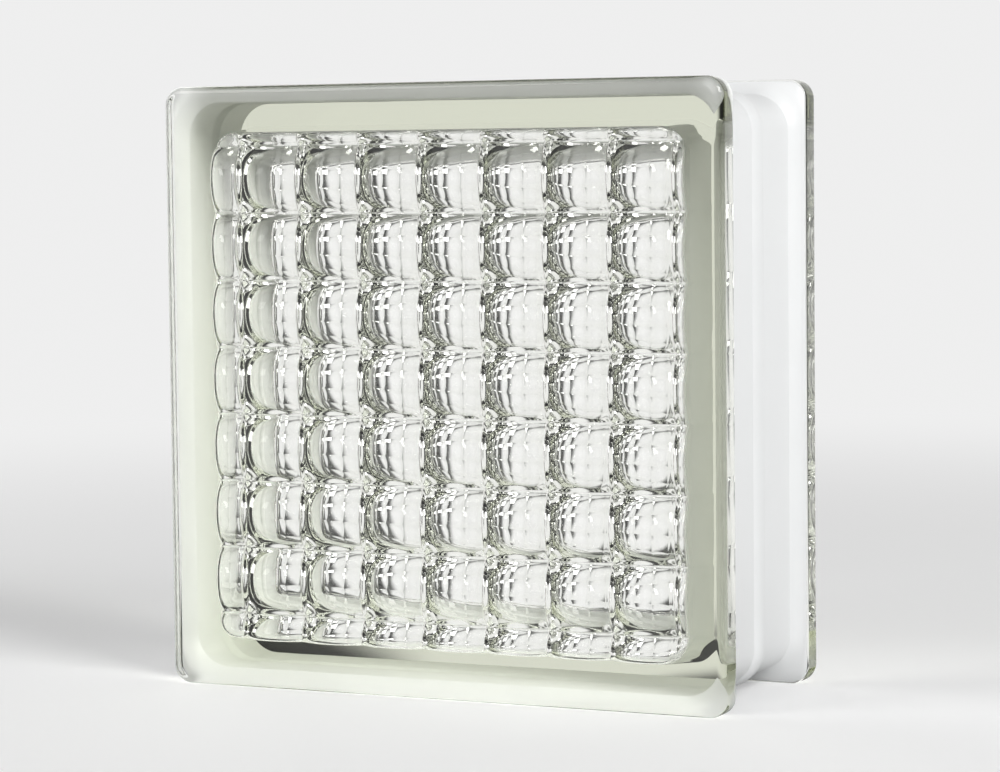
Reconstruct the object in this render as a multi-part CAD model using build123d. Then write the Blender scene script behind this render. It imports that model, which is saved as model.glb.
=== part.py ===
# Hollow glass block for walls and partitions, pressed in two halves and fused at mid depth.
# Each half is modelled with its seam rim on the XY plane and its face up, as it leaves the press,
# and is then stood upright: X across the block, Y from the front face to the rear face, Z up.
# The origin is the middle of the bottom, on the seam plane.
from build123d import *
from math import ceil, sqrt
import os

# Outside of the block
WIDTH = 190.0
HEIGHT = 190.0
DEPTH = 80.0
LIP_CORNER_RADIUS = 6.0
FACE_EDGE_RADIUS = 2.5

# Channel round the edge, where the mortar keys in
LIP_DEPTH = 9.0
LIP_BACK_SLOPE = 4.2
CHANNEL_DEPTH = 5.0
CHANNEL_CORNER_RADIUS = 11.0

# Bead of fused glass round the seam
BEAD_HEIGHT = 1.4
BEAD_HALF_WIDTH = 4.5

# White coat in the channel, which stops short of the lips' outer edges
COAT_THICKNESS = 0.4
COAT_STOP = 2.0

# Hollow inside, with draft on its walls
PLATE_THICKNESS = 9.0
WALL_AT_PLATE = 9.5
WALL_AT_SEAM = 7.5
HOLLOW_CORNER_RADIUS = 8.0

# Lattice pressed into the inner face of each plate: square dimples with straight ribs between.
# Its middle cell lies off the middle of the hollow, to the right and up.
CELL_PITCH = 21.2
RIB_WIDTH = 1.4
DIMPLE_DEPTH = 4.4
LATTICE_RIGHT = 2.3
LATTICE_UP = 2.0

# Cutters run past the glass by this much
OVERRUN = 1.0

# Levels worked out from the sizes above, measured from the seam plane to the face
FACE_LEVEL = DEPTH / 2
LIP_LEVEL = FACE_LEVEL - LIP_DEPTH
PLATE_LEVEL = FACE_LEVEL - PLATE_THICKNESS
FLOOR_WIDTH = WIDTH - 2 * CHANNEL_DEPTH
FLOOR_HEIGHT = HEIGHT - 2 * CHANNEL_DEPTH


def outline(grow, level, radius):
    """A rounded square at a level, the channel's floor grown by the same amount on every side."""
    return Pos(0, 0, level) * RectangleRounded(FLOOR_WIDTH + 2 * grow, FLOOR_HEIGHT + 2 * grow, radius)


def edges_at(body, level):
    """Every edge that lies at one level."""
    return body.edges().filter_by_position(Axis.Z, level, level)


def concave_edges(body, level):
    """The loop of edges at one level where the body steps outwards."""
    return edges_at(body, level).filter_by(lambda edge: edge.is_interior)


def seam_bead(coat):
    """Half of the bead round the seam: a segment of a circle swept round the channel's floor."""
    radius = (BEAD_HALF_WIDTH**2 + BEAD_HEIGHT**2) / (2 * BEAD_HEIGHT)
    path = outline(0, 0, CHANNEL_CORNER_RADIUS).wire()
    start = path @ 0
    outward = (path % 0).cross(Vector(0, 0, 1))
    if outward.dot(start) < 0:
        outward = -outward
    section_plane = Plane(origin=start, x_dir=outward, z_dir=outward.cross(Vector(0, 0, 1)))
    disc = Pos(BEAD_HEIGHT - radius, 0) * Circle(radius + coat)
    side = radius + coat
    quarter = Rectangle(side, side, align=(Align.MIN, Align.MIN))
    return sweep(section_plane * (disc & quarter), path)


def channel_body(coat, top_reach, top_radius, top_level):
    """The channel's wall with the bead, stepping out to a wider slab, under a coat of a thickness."""
    step_level = LIP_LEVEL - coat
    wall = extrude(outline(coat, 0, CHANNEL_CORNER_RADIUS + coat), step_level)
    slab = extrude(outline(top_reach, step_level, top_radius), top_level - step_level)
    body = wall + slab
    slope = LIP_BACK_SLOPE - coat * (2 - sqrt(2))
    body = chamfer(concave_edges(body, step_level), slope)
    return body + seam_bead(coat)


def half_outside():
    """A half before the plunger: plate, lip and channel wall, with the face's edge rounded."""
    body = channel_body(0, CHANNEL_DEPTH, LIP_CORNER_RADIUS, FACE_LEVEL)
    return fillet(edges_at(body, FACE_LEVEL), FACE_EDGE_RADIUS)


def half_coat(glass):
    """The white coat over the channel of a half, which stops part way up the lip's sloping back."""
    body = channel_body(COAT_THICKNESS, CHANNEL_DEPTH, LIP_CORNER_RADIUS, LIP_LEVEL)
    stop_level = LIP_LEVEL - LIP_BACK_SLOPE + CHANNEL_DEPTH - COAT_STOP
    return split(body, bisect_by=Plane.XY.offset(stop_level), keep=Keep.BOTTOM) - glass


def hollow():
    """What the plunger leaves open inside a half, wider at the rim by the draft."""
    rim = outline(-WALL_AT_SEAM, -OVERRUN, HOLLOW_CORNER_RADIUS)
    floor = outline(-WALL_AT_PLATE, PLATE_LEVEL, HOLLOW_CORNER_RADIUS)
    return loft([rim, floor], ruled=True)


def cell_count(floor_size, shift):
    """How many cells cover the hollow's floor, the middle one shifted and the outer ones cut by the walls."""
    beside_middle = floor_size / 2 - WALL_AT_PLATE + abs(shift) - CELL_PITCH / 2
    return 1 + 2 * ceil(beside_middle / CELL_PITCH)


def troughs(length, floor_size, shift):
    """Side by side troughs of round section, one for each row of cells, lying along X."""
    half_width = (CELL_PITCH - RIB_WIDTH) / 2
    radius = (half_width**2 + DIMPLE_DEPTH**2) / (2 * DIMPLE_DEPTH)
    axis_level = PLATE_LEVEL + DIMPLE_DEPTH - radius
    trough = Pos(0, shift, axis_level) * Rot(Y=90) * Cylinder(radius, length)
    rows = [place * trough for place in GridLocations(0, CELL_PITCH, 1, cell_count(floor_size, shift))]
    return Part() + rows


def lattice():
    """The dimples: troughs across and troughs up, where they cross, cut off at the hollow's walls."""
    across = troughs(FLOOR_WIDTH, FLOOR_HEIGHT, LATTICE_UP)
    upwards = Rot(Z=90) * troughs(FLOOR_HEIGHT, FLOOR_WIDTH, -LATTICE_RIGHT)
    field = extrude(outline(-WALL_AT_PLATE, PLATE_LEVEL, HOLLOW_CORNER_RADIUS), DIMPLE_DEPTH + OVERRUN)
    return across & upwards & field


def upright(shape):
    """Stands a half on its edge, with its face to the front."""
    return Pos(0, 0, HEIGHT / 2) * Rot(X=90) * shape


outside = half_outside()
front_half = upright(outside - hollow() - lattice())
rear_half = mirror(front_half, about=Plane.XZ)
front_coat = upright(half_coat(outside))
edge_coating = front_coat + mirror(front_coat, about=Plane.XZ)

os.makedirs("parts", exist_ok=True)
export_step(front_half, "parts/front_half.step")
export_step(rear_half, "parts/rear_half.step")
export_step(edge_coating, "parts/edge_coating.step")
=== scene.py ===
import bmesh
import bpy
from math import atan2, cos, degrees, hypot, pi, radians, sin, sqrt
from mathutils import Matrix, Vector


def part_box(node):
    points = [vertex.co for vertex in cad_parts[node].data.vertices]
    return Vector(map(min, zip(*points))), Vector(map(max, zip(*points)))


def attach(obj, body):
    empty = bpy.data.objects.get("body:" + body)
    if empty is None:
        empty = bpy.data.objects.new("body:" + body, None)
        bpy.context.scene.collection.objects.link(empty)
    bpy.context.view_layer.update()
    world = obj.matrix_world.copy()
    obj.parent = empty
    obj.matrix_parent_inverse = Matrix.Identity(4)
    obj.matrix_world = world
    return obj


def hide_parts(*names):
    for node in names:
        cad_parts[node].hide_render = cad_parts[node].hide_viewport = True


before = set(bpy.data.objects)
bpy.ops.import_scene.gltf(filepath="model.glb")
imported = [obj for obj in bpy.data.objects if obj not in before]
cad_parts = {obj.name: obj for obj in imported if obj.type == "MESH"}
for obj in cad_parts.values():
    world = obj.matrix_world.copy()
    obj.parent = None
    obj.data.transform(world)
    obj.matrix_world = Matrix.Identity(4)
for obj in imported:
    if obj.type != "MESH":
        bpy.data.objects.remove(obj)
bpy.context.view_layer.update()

MM = 0.001

# The block as packed: half of its width, half of its depth, and the height of its middle
LOW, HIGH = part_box("front_half")
HALF_WIDTH = (HIGH.x - LOW.x) / 2
HALF_DEPTH = -LOW.y
MIDDLE_HEIGHT = (HIGH.z + LOW.z) / 2

# Lip round the face
LIP_DEPTH = 9 * MM
LIP_RADIUS = 6 * MM
FACE_ROUNDING = 2.5 * MM
FACE_BORDER = 0.3 * MM
BACK_ROUNDING = 0.6 * MM
BACK_SLOPE = 4.2 * MM
LIP_LEVEL = HALF_DEPTH - LIP_DEPTH

# Channel between the lips, and the bead of fused glass in its middle
CHANNEL_DEPTH = 5 * MM
CHANNEL_RADIUS = 11 * MM
FLOOR = HALF_WIDTH - CHANNEL_DEPTH
ROOT_FILLET = 1.2 * MM
BEAD_HEIGHT = 1.4 * MM
BEAD_HALF_WIDTH = 4.5 * MM
BEAD_FOOT = 2 * MM

# White coat, which reaches a little into the glass so that no gap shows between them
COAT = 0.4 * MM
COAT_BITE = 0.03 * MM
COAT_STOP = 0.5 * MM

# Hollow inside: half of its width at the plate and at the seam, and the fillet round the plate
PLATE_LEVEL = HALF_DEPTH - 9 * MM
HOLLOW_AT_PLATE = FLOOR - 9.5 * MM
HOLLOW_AT_SEAM = FLOOR - 7.5 * MM
HOLLOW_RADIUS = 8 * MM
WALL_ROOT = 3 * MM
WALL_START = 0.4 * MM

# Lattice pressed into the inner face of each plate: crossing troughs, with soft crests between them
PITCH = 21.2 * MM
TROUGH_RADIUS = 14.2 * MM
CREST_SOFTNESS = 0.2 * MM
LATTICE_RIGHT = 2.3 * MM
LATTICE_UP = 2.0 * MM

# Sockets of the Mix node, whose names repeat
MIX_FACTOR, MIX_VALUE_A, MIX_VALUE_B, MIX_COLOUR_A, MIX_COLOUR_B = 0, 2, 3, 6, 7
MIXED_VALUE, MIXED_COLOUR = 0, 2

# Steps of the mesh, closest together at the crests and at the wall
CELLS_TO_A_SIDE = 5
CELL_STEPS = 25
CREST_CROWDING = 0.55
ROOT_STEPS = 6
ROOT_MARGIN = 0.2 * MM
CORNER_STEPS = 14
BEAD_STEPS = 8
FILLET_STEPS = 4
FACE_STEPS = 8
WELD = 0.001 * MM

# Camera of the photograph, in metres and degrees
CAMERA_PLACE = (0.4477, -0.9299, 0.1659)
CAMERA_TURN, CAMERA_DIP, CAMERA_ROLL = 25.55, 3.96, -0.62
LENS = 117.5 * MM
FILM_WIDTH = 36 * MM

# Glass: its green by depth, and the waver that pressing leaves
GLASS_INDEX = 1.52
GLASS_TINT = (0.795, 0.812, 0.705, 1)
GLASS_TINT_DENSITY = 20
GLASS_WAVERS_PER_METRE = 55
GLASS_WAVER_HEIGHT = 0.06 * MM
GLASS_WAVER_DETAIL = 1

# White coat: drifts of shade and sheen, and the orange peel of a sprayed film
COAT_INDEX = 1.48
COAT_SHADES = ((0.84, 0.85, 0.85, 1), (0.89, 0.90, 0.90, 1))
COAT_ROUGHNESS = (0.28, 0.46)
COAT_DRIFTS_PER_METRE = 35
COAT_DRIFT_DETAIL = 3
COAT_PEELS_PER_METRE = 700
COAT_PEEL_HEIGHT = 0.02 * MM
COAT_PEEL_DETAIL = 2
FLOW_ROUGHNESS = 0.45

# Studio, in metres and watts, with brightness such that 1 is white
FLOOR_REACH = 6
FLOOR_FADE = (0.25, 1.1)
FLOOR_COLOUR = (0.8, 0.8, 0.8, 1)
FLOOR_ROUGHNESS = 0.9
FLOOR_LIFT = (0.2, 0.2, 0.2, 1)
BACKGROUND = 0.86
PALE = 0.95
FLAG = 0.03
FLAG_EDGE = (0.65, 0.88)
LAMP_TARGET = (0, 0, 0.1)
LEFT_LAMP = ("left_softbox", (-1.2, -1.2, 1.2), 1.0, 11)
RIGHT_LAMP = ("right_softbox", (1.4, -0.6, 1.0), 0.8, 22)
REAR_LAMP = ("rear_softbox", (-1.3, 1.0, 1.0), 1.0, 6)


def arc(centre_out, centre_level, radius, first, last, steps):
    """Points (out, level) along an arc, angles in degrees from the outward direction."""
    points = []
    for i in range(steps + 1):
        angle = radians(first + (last - first) * i / steps)
        points.append((centre_out + radius * cos(angle), centre_level + radius * sin(angle)))
    return points


def channel_profile(grow, stop):
    """Points (out, level) from the bead's crest to a stop on the lip's back, the glass grown a little."""
    bead_radius = (BEAD_HALF_WIDTH**2 + BEAD_HEIGHT**2) / (2 * BEAD_HEIGHT)
    bead_centre = FLOOR + BEAD_HEIGHT - bead_radius
    foot_out = FLOOR + BEAD_FOOT
    foot_level = sqrt((bead_radius + BEAD_FOOT) ** 2 - (foot_out - bead_centre) ** 2)
    foot_angle = degrees(atan2(foot_level, foot_out - bead_centre))
    points = arc(bead_centre, 0, bead_radius + grow, 0, foot_angle, BEAD_STEPS)
    points += arc(foot_out, foot_level, BEAD_FOOT - grow, 180 + foot_angle, 180, FILLET_STEPS)[1:]
    root_level = LIP_LEVEL - BACK_SLOPE - ROOT_FILLET * (sqrt(2) - 1)
    points += arc(FLOOR + ROOT_FILLET, root_level, ROOT_FILLET - grow, 180, 135, FILLET_STEPS)
    stop_level = LIP_LEVEL - BACK_SLOPE + stop - FLOOR
    points.append((stop + grow * sqrt(0.5), stop_level - grow * sqrt(0.5)))
    return points


def channel_ring(out, level):
    """A rounded square of the channel: half width, corner radius, level."""
    return out, out - FLOOR + CHANNEL_RADIUS, level


def lip_ring(out, level):
    """A rounded square of the lip: half width, corner radius, level."""
    return out, out - HALF_WIDTH + LIP_RADIUS, level


def rounded_face(bm, ring):
    """One flat face in the shape of a rounded square."""
    half, radius, level = ring
    corners = bmesh.ops.create_grid(bm, x_segments=1, y_segments=1, size=half)["verts"]
    bmesh.ops.bevel(
        bm, geom=corners, offset=radius, offset_type="OFFSET", segments=CORNER_STEPS,
        profile=0.5, affect="VERTICES", material=-1, clamp_overlap=False,
    )
    bmesh.ops.translate(bm, verts=bm.verts[:], vec=(0, 0, level))


def refit(verts, old, new):
    """Moves the points of one rounded square onto another: straights stay straight and corners round."""
    old_half, old_radius, _ = old
    new_half, new_radius, level = new
    old_straight = old_half - old_radius
    new_straight = new_half - new_radius
    for v in verts:
        place = []
        for value in (v.co.x, v.co.y):
            side = 1 if value > 0 else -1
            past = abs(value) - old_straight
            if past > -WELD:
                place.append(side * (new_straight + max(past, 0) * new_radius / old_radius))
            else:
                place.append(value * new_straight / old_straight)
        v.co = Vector((place[0], place[1], level))


def draw_out(bm, edges, first, rings):
    """Extrudes a loop of edges from its rounded square through others."""
    here = first
    for ring in rings:
        made = bmesh.ops.extrude_edge_only(bm, edges=edges)["geom"]
        edges = [g for g in made if isinstance(g, bmesh.types.BMEdge)]
        refit([g for g in made if isinstance(g, bmesh.types.BMVert)], here, ring)
        here = ring


def both_halves(bm):
    """Adds the mirror image across the seam and closes the shell, faces outwards."""
    bmesh.ops.mirror(bm, geom=bm.verts[:] + bm.edges[:] + bm.faces[:], axis="Z", merge_dist=WELD)
    bmesh.ops.remove_doubles(bm, verts=bm.verts[:], dist=WELD)
    bmesh.ops.recalc_face_normals(bm, faces=bm.faces[:])


def outside_shell():
    """Outer surface of the glass, from the front face over lip, channel and bead to the rear face."""
    bm = bmesh.new()
    face = lip_ring(HALF_WIDTH - FACE_ROUNDING - FACE_BORDER, HALF_DEPTH)
    front = arc(HALF_WIDTH - FACE_ROUNDING, HALF_DEPTH - FACE_ROUNDING, FACE_ROUNDING, 90, 0, FACE_STEPS)
    back = arc(HALF_WIDTH - BACK_ROUNDING, LIP_LEVEL + BACK_ROUNDING, BACK_ROUNDING, 0, -90, FILLET_STEPS)
    channel = channel_profile(0, FLOOR + BACK_SLOPE)
    rings = [lip_ring(*point) for point in front + back]
    rings += [channel_ring(*point) for point in reversed(channel)]
    rounded_face(bm, face)
    draw_out(bm, [edge for edge in bm.edges if edge.is_boundary], face, rings)
    both_halves(bm)
    return bm


def trough_rise(place):
    """How far a trough has risen at a place across the lattice, rounded off at the crests."""
    from_crest = abs((place / PITCH) % 1 - 0.5) * PITCH
    from_bottom = PITCH / 2 - hypot(from_crest, CREST_SOFTNESS)
    return TROUGH_RADIUS - sqrt(TROUGH_RADIUS**2 - from_bottom**2)


def dimple_depth(x, y):
    """Depth of the pressed surface, where two sets of troughs cross."""
    crest = TROUGH_RADIUS - sqrt(TROUGH_RADIUS**2 - (PITCH / 2) ** 2)
    return crest - trough_rise(x - LATTICE_RIGHT) - trough_rise(y - LATTICE_UP)


def lattice_stations(shift):
    """Places across the lattice for the mesh's lines."""
    inner = HOLLOW_AT_PLATE - WALL_ROOT
    stations = []
    for cell in range(-CELLS_TO_A_SIDE, CELLS_TO_A_SIDE + 1):
        for step in range(CELL_STEPS):
            share = step / CELL_STEPS
            eased = share - CREST_CROWDING * sin(2 * pi * share) / (2 * pi)
            stations.append((cell - 0.5 + eased) * PITCH + shift)
    kept = [place for place in stations if abs(place) < inner - ROOT_MARGIN]
    root = [inner + WALL_ROOT * sin(pi / 2 * step / ROOT_STEPS) for step in range(ROOT_STEPS + 1)]
    return [-place for place in reversed(root)] + kept + root


def inside_corner(x, y):
    """A point of the square lattice moved so that the corners come round, and its distance to the wall."""
    straight = HOLLOW_AT_PLATE - HOLLOW_RADIUS
    past_x = max(abs(x) - straight, 0)
    past_y = max(abs(y) - straight, 0)
    if not (past_x and past_y):
        return x, y, HOLLOW_AT_PLATE - max(abs(x), abs(y))
    round_x = past_x * sqrt(1 - (past_y / HOLLOW_RADIUS) ** 2 / 2)
    round_y = past_y * sqrt(1 - (past_x / HOLLOW_RADIUS) ** 2 / 2)
    x += (round_x - past_x) * (1 if x > 0 else -1)
    y += (round_y - past_y) * (1 if y > 0 else -1)
    return x, y, HOLLOW_RADIUS - hypot(round_x, round_y)


def hollow_shell():
    """Surface of the hollow: both pressed lattices and the drafted walls, faces towards the air."""
    bm = bmesh.new()
    columns = lattice_stations(LATTICE_RIGHT)
    rows = lattice_stations(LATTICE_UP)
    bmesh.ops.create_grid(bm, x_segments=len(columns) - 1, y_segments=len(rows) - 1, size=1)
    for v in bm.verts:
        column = columns[round((v.co.x + 1) / 2 * (len(columns) - 1))]
        row = rows[round((v.co.y + 1) / 2 * (len(rows) - 1))]
        x, y, to_wall = inside_corner(column, row)
        into_root = max(WALL_ROOT - max(to_wall, 0), 0)
        lowered = WALL_ROOT - sqrt(WALL_ROOT**2 - into_root**2)
        v.co = Vector((x, y, PLATE_LEVEL + dimple_depth(x, y) - lowered))
    rim = [edge for edge in bm.edges if edge.is_boundary]
    made = bmesh.ops.extrude_edge_only(bm, edges=rim)["geom"]
    rim = [g for g in made if isinstance(g, bmesh.types.BMEdge)]
    lower = [g for g in made if isinstance(g, bmesh.types.BMVert)]
    bmesh.ops.translate(bm, verts=lower, vec=(0, 0, -WALL_START))
    draw_out(bm, rim, (HOLLOW_AT_PLATE, HOLLOW_RADIUS, 0), [(HOLLOW_AT_SEAM, HOLLOW_RADIUS, 0)])
    both_halves(bm)
    bmesh.ops.reverse_faces(bm, faces=bm.faces[:])
    return bm


def coat_shell():
    """The white coat: a closed band over the channel and the lips' backs, set just into the glass."""
    bm = bmesh.new()
    sides = []
    for grow in (COAT, -COAT_BITE):
        stop = FLOOR + BACK_SLOPE - grow * (1 - sqrt(0.5))
        side = [channel_ring(*point) for point in channel_profile(grow, stop)]
        sides.append(side + [lip_ring(HALF_WIDTH - COAT_STOP, LIP_LEVEL - grow)])
    outer, inner = sides
    rounded_face(bm, outer[0])
    bmesh.ops.delete(bm, geom=bm.faces[:], context="FACES_ONLY")
    draw_out(bm, bm.edges[:], outer[0], outer[1:] + inner[::-1])
    both_halves(bm)
    return bm


def piece(name, shells, material, nodes):
    """One finished object from its closed shells, stood upright on the frame's floor."""
    stand = Matrix.Translation((0, 0, MIDDLE_HEIGHT)) @ Matrix.Rotation(radians(90), 4, "X")
    mesh = bpy.data.meshes.new(name)
    joined = bmesh.new()
    for shell in shells:
        shell.to_mesh(mesh)
        shell.free()
        joined.from_mesh(mesh)
    bmesh.ops.transform(joined, matrix=stand, verts=joined.verts[:])
    for face in joined.faces:
        face.smooth = True
    joined.to_mesh(mesh)
    joined.free()
    mesh.materials.append(material)
    obj = bpy.data.objects.new(name, mesh)
    bpy.context.scene.collection.objects.link(obj)
    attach(obj, "root")
    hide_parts(*nodes)


def add_node(tree, kind, values=None, links=None, **settings):
    """Adds a node with its settings, its plain input values and its linked inputs."""
    node = tree.nodes.new(kind)
    for name, value in settings.items():
        setattr(node, name, value)
    for socket, value in (values or {}).items():
        node.inputs[socket].default_value = value
    for socket, source in (links or {}).items():
        tree.links.new(source, node.inputs[socket])
    return node


def add_effect(tree, group, values=None, links=None):
    """Adds a shared node group with its own values."""
    return add_node(tree, "ShaderNodeGroup", values, links, node_tree=group)


def new_group(name, inputs, outputs):
    """An empty node group with named sockets: its tree, and its input and output nodes."""
    tree = bpy.data.node_groups.new(name, "ShaderNodeTree")
    for socket, kind in inputs:
        tree.interface.new_socket(socket, in_out="INPUT", socket_type=kind)
    for socket, kind in outputs:
        tree.interface.new_socket(socket, in_out="OUTPUT", socket_type=kind)
    return tree, tree.nodes.new("NodeGroupInput"), tree.nodes.new("NodeGroupOutput")


def flow_group():
    """The slow waver that pressing leaves in glass and flow leaves in a coat, as a height from 0 to 1."""
    tree, given, put_out = new_group(
        "flow", [("Size per Metre", "NodeSocketFloat"), ("Detail", "NodeSocketFloat")],
        [("Height", "NodeSocketFloat")])
    place = add_node(tree, "ShaderNodeTexCoord")
    waver = add_node(tree, "ShaderNodeTexNoise", {"Roughness": FLOW_ROUGHNESS}, {
        "Vector": place.outputs["Object"], "Scale": given.outputs["Size per Metre"],
        "Detail": given.outputs["Detail"]})
    tree.links.new(waver.outputs["Fac"], put_out.inputs["Height"])
    return tree


def studio_group():
    """Brightness of the studio in a direction: pale in front and behind, with dark flags at the sides."""
    tree, given, put_out = new_group(
        "studio_light", [("Direction", "NodeSocketVector")], [("Brightness", "NodeSocketFloat")])
    unit = add_node(tree, "ShaderNodeVectorMath", links={
        0: given.outputs["Direction"]}, operation="NORMALIZE")
    parts = add_node(tree, "ShaderNodeSeparateXYZ", links={0: unit.outputs[0]})
    depth = add_node(tree, "ShaderNodeMath", links={0: parts.outputs["Y"]}, operation="ABSOLUTE")
    level = add_node(tree, "ShaderNodeMapRange", {
        "From Min": FLAG_EDGE[0], "From Max": FLAG_EDGE[1], "To Min": FLAG, "To Max": PALE}, {
        "Value": depth.outputs[0]}, interpolation_type="SMOOTHSTEP")
    tree.links.new(level.outputs[0], put_out.inputs["Brightness"])
    return tree


def new_material(name, base):
    """A node material with constant inputs on its shader: the material, tree, shader and output."""
    material = bpy.data.materials.new(name)
    material.use_nodes = True
    tree = material.node_tree
    shader = tree.nodes["Principled BSDF"]
    for socket, value in base.items():
        shader.inputs[socket].default_value = value
    return material, tree, shader, tree.nodes["Material Output"]


def clear_glass(flow):
    """Pressed soda glass with the green of its iron and a faint waver, clear to the lamps' shadow rays."""
    material, tree, shader, output = new_material("clear_glass", {
        "Base Color": (1, 1, 1, 1), "Roughness": 0, "IOR": GLASS_INDEX, "Transmission Weight": 1})
    waver = add_effect(tree, flow, {
        "Size per Metre": GLASS_WAVERS_PER_METRE, "Detail": GLASS_WAVER_DETAIL})
    bump = add_node(tree, "ShaderNodeBump", {"Strength": 1, "Distance": GLASS_WAVER_HEIGHT}, {
        "Height": waver.outputs["Height"]})
    tree.links.new(bump.outputs[0], shader.inputs["Normal"])
    tint = add_node(tree, "ShaderNodeVolumeAbsorption", {
        "Color": GLASS_TINT, "Density": GLASS_TINT_DENSITY})
    path = add_node(tree, "ShaderNodeLightPath")
    open_air = add_node(tree, "ShaderNodeBsdfTransparent")
    surface = add_node(tree, "ShaderNodeMixShader", links={
        0: path.outputs["Is Shadow Ray"], 1: shader.outputs[0], 2: open_air.outputs[0]})
    tree.links.new(surface.outputs[0], output.inputs["Surface"])
    tree.links.new(tint.outputs[0], output.inputs["Volume"])
    return material


def white_coat(flow):
    """Satin white coat: slow drifts of shade and sheen, and the fine orange peel of a sprayed film."""
    material, tree, shader, output = new_material("white_coat", {"IOR": COAT_INDEX})
    drift = add_effect(tree, flow, {
        "Size per Metre": COAT_DRIFTS_PER_METRE, "Detail": COAT_DRIFT_DETAIL})
    shade = add_node(tree, "ShaderNodeMix", {
        MIX_COLOUR_A: COAT_SHADES[0], MIX_COLOUR_B: COAT_SHADES[1]}, {
        MIX_FACTOR: drift.outputs["Height"]}, data_type="RGBA")
    tree.links.new(shade.outputs[MIXED_COLOUR], shader.inputs["Base Color"])
    sheen = add_node(tree, "ShaderNodeMapRange", {
        "To Min": COAT_ROUGHNESS[0], "To Max": COAT_ROUGHNESS[1]}, {
        "Value": drift.outputs["Height"]})
    tree.links.new(sheen.outputs[0], shader.inputs["Roughness"])
    peel = add_effect(tree, flow, {
        "Size per Metre": COAT_PEELS_PER_METRE, "Detail": COAT_PEEL_DETAIL})
    bump = add_node(tree, "ShaderNodeBump", {"Strength": 1, "Distance": COAT_PEEL_HEIGHT}, {
        "Height": peel.outputs["Height"]})
    tree.links.new(bump.outputs[0], shader.inputs["Normal"])
    return material


def camera():
    """The photograph's view, with a long lens from a metre off to the right."""
    data = bpy.data.cameras.new("camera")
    data.sensor_width = FILM_WIDTH / MM
    data.lens = LENS / MM
    turn, dip, roll = radians(CAMERA_TURN), radians(CAMERA_DIP), radians(CAMERA_ROLL)
    ahead = Vector((-sin(turn) * cos(dip), cos(turn) * cos(dip), -sin(dip)))
    level = Vector((cos(turn), sin(turn), 0))
    above = level.cross(ahead)
    right = level * cos(roll) + above * sin(roll)
    up = above * cos(roll) - level * sin(roll)
    obj = bpy.data.objects.new("camera", data)
    aim = Matrix((right, up, -ahead)).transposed().to_4x4()
    obj.matrix_world = Matrix.Translation(CAMERA_PLACE) @ aim
    bpy.context.scene.collection.objects.link(obj)
    bpy.context.scene.camera = obj


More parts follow.
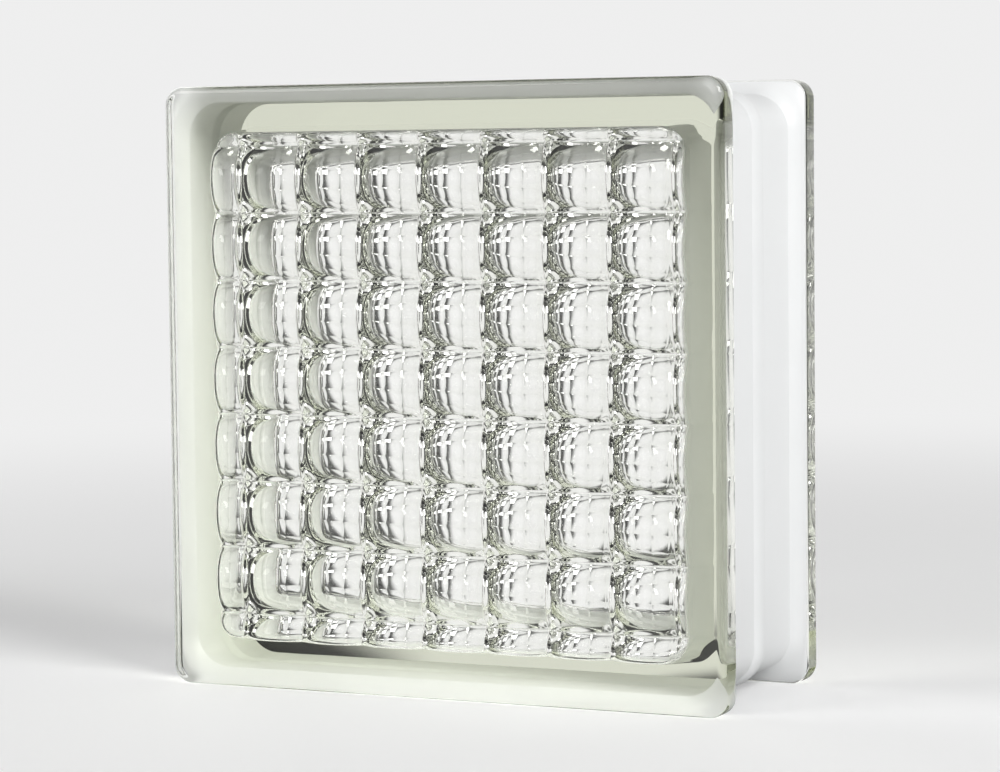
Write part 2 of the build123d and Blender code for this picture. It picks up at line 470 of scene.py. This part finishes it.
def floor_material(studio):
    """Pale matt floor that fades into the background, and that glass and gloss see as the studio's light."""
    material, tree, shader, output = new_material("pale_floor", {
        "Base Color": FLOOR_COLOUR, "Roughness": FLOOR_ROUGHNESS})
    path = add_node(tree, "ShaderNodeLightPath")
    place = add_node(tree, "ShaderNodeTexCoord")
    lift = add_node(tree, "ShaderNodeEmission", {"Color": FLOOR_LIFT}, {
        "Strength": path.outputs["Is Camera Ray"]})
    near = add_node(tree, "ShaderNodeAddShader", links={0: shader.outputs[0], 1: lift.outputs[0]})
    far = add_node(tree, "ShaderNodeEmission", {"Strength": BACKGROUND})
    distance = add_node(tree, "ShaderNodeVectorMath", links={
        0: place.outputs["Object"]}, operation="LENGTH")
    fade = add_node(tree, "ShaderNodeMapRange", {"From Min": FLOOR_FADE[0], "From Max": FLOOR_FADE[1]}, {
        "Value": distance.outputs["Value"], "To Max": path.outputs["Is Camera Ray"]},
        interpolation_type="SMOOTHSTEP")
    seen = add_node(tree, "ShaderNodeMixShader", links={
        0: fade.outputs[0], 1: near.outputs[0], 2: far.outputs[0]})
    light = add_effect(tree, studio, links={"Direction": place.outputs["Object"]})
    mirrored = add_node(tree, "ShaderNodeEmission", links={"Strength": light.outputs["Brightness"]})
    through = add_node(tree, "ShaderNodeMath", links={
        0: path.outputs["Is Transmission Ray"], 1: path.outputs["Is Glossy Ray"]}, operation="MAXIMUM")
    surface = add_node(tree, "ShaderNodeMixShader", links={
        0: through.outputs[0], 1: seen.outputs[0], 2: mirrored.outputs[0]})
    tree.links.new(surface.outputs[0], output.inputs["Surface"])
    return material


def studio_floor(studio):
    """A wide flat floor under the block."""
    bm = bmesh.new()
    bmesh.ops.create_grid(bm, x_segments=1, y_segments=1, size=FLOOR_REACH)
    mesh = bpy.data.meshes.new("studio_floor")
    bm.to_mesh(mesh)
    bm.free()
    mesh.materials.append(floor_material(studio))
    obj = bpy.data.objects.new("studio_floor", mesh)
    bpy.context.scene.collection.objects.link(obj)


def surroundings(studio):
    """The studio's light all round, and a plain pale background where the camera looks past the floor."""
    world = bpy.data.worlds.new("studio")
    bpy.context.scene.world = world
    world.use_nodes = True
    tree = world.node_tree
    place = add_node(tree, "ShaderNodeTexCoord")
    path = add_node(tree, "ShaderNodeLightPath")
    light = add_effect(tree, studio, links={"Direction": place.outputs["Generated"]})
    seen = add_node(tree, "ShaderNodeMix", {MIX_VALUE_B: BACKGROUND}, {
        MIX_FACTOR: path.outputs["Is Camera Ray"], MIX_VALUE_A: light.outputs["Brightness"]},
        data_type="FLOAT")
    tree.links.new(seen.outputs[MIXED_VALUE], tree.nodes["Background"].inputs["Color"])


def lamp(name, place, size, power):
    """A square soft lamp that points at the block."""
    data = bpy.data.lights.new(name, "AREA")
    data.shape = "SQUARE"
    data.size = size
    data.energy = power
    obj = bpy.data.objects.new(name, data)
    obj.location = place
    obj.rotation_mode = "QUATERNION"
    obj.rotation_quaternion = (Vector(LAMP_TARGET) - Vector(place)).to_track_quat("-Z", "Y")
    bpy.context.scene.collection.objects.link(obj)


flow_effect = flow_group()
studio_effect = studio_group()

piece("pressed_glass", [outside_shell(), hollow_shell()], clear_glass(flow_effect),
      ["front_half", "rear_half"])
piece("channel_coat", [coat_shell()], white_coat(flow_effect), ["edge_coating"])

camera()
studio_floor(studio_effect)
surroundings(studio_effect)
lamp(*LEFT_LAMP)
lamp(*RIGHT_LAMP)
lamp(*REAR_LAMP)
bpy.context.scene.view_settings.view_transform = "Standard"
